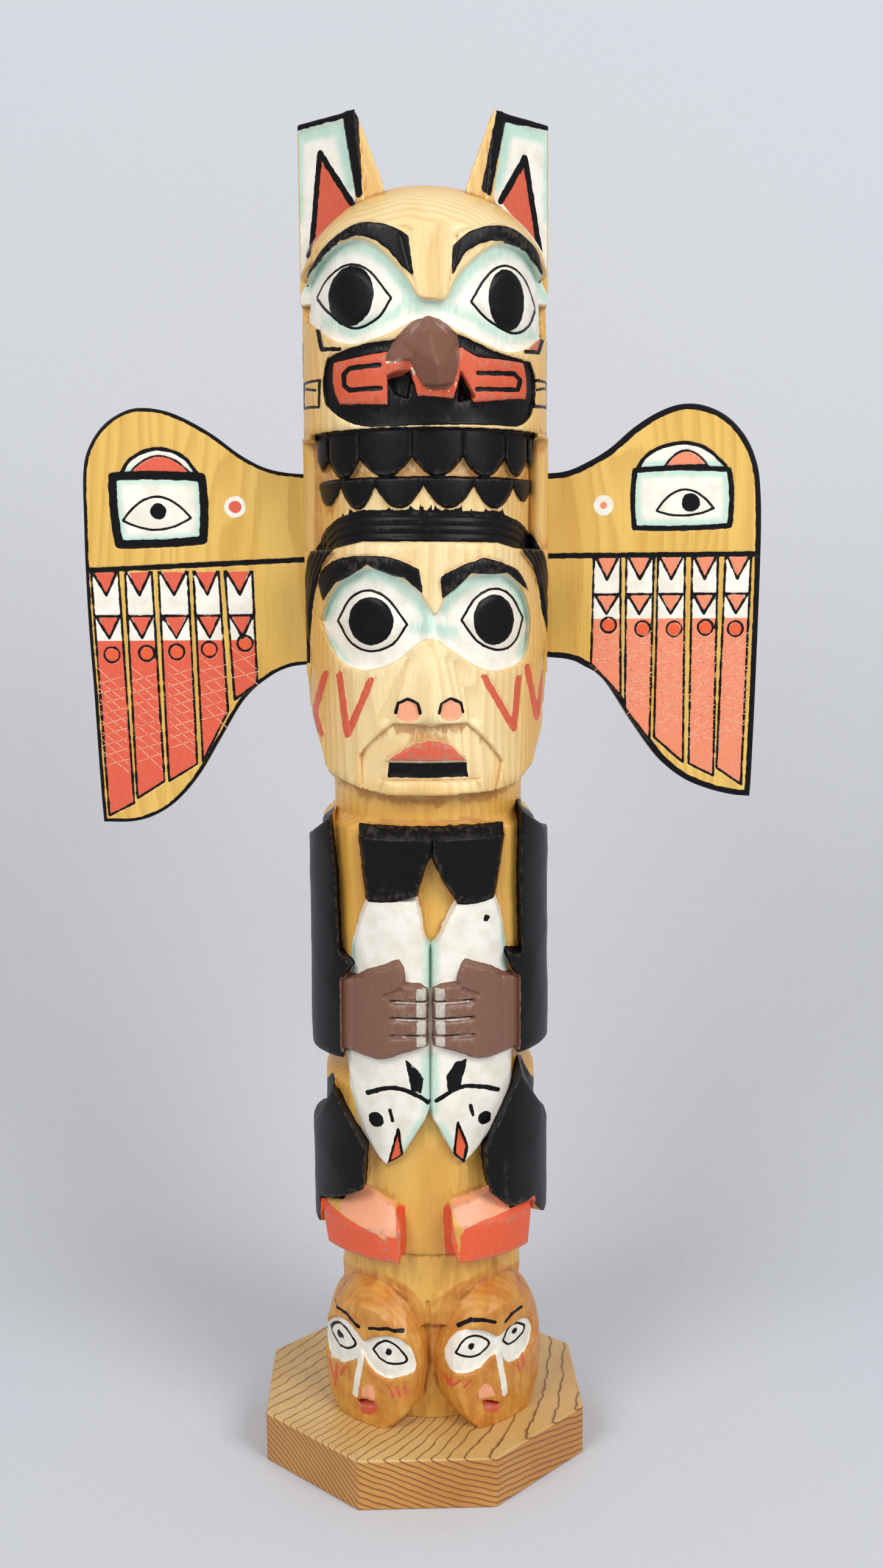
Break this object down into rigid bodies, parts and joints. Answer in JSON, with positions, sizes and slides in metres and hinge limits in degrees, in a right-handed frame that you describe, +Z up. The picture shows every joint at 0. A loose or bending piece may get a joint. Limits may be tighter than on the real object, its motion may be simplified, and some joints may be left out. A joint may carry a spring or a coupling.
{
  "type": "totem pole",
  "caption": "Carved and painted tabletop totem pole: an eagle with spread wings above a figure holding two fish, with little faces at its foot, on an octagonal board.",
  "frame": {"origin": "middle of the whole width, on the underside of the octagonal board, which sits 4 mm to the left of it", "axes": "+Z up along the log, the carved front faces -Y, +X to the right as seen from the front"},
  "size_m": [0.294, 0.14, 0.574],
  "materials": {
    "carved_log": "varnished pale softwood, carved, with black, white, teal and red paint",
    "wing_board": "varnished thin softwood board with black, white and red paint",
    "base_board": "varnished softwood board with bold dark growth rings"
  },
  "bodies": {
    "root": {"pole": "carved_log", "wing_left": "wing_board", "wing_right": "wing_board", "base": "base_board"}
  },
  "joints": []
}
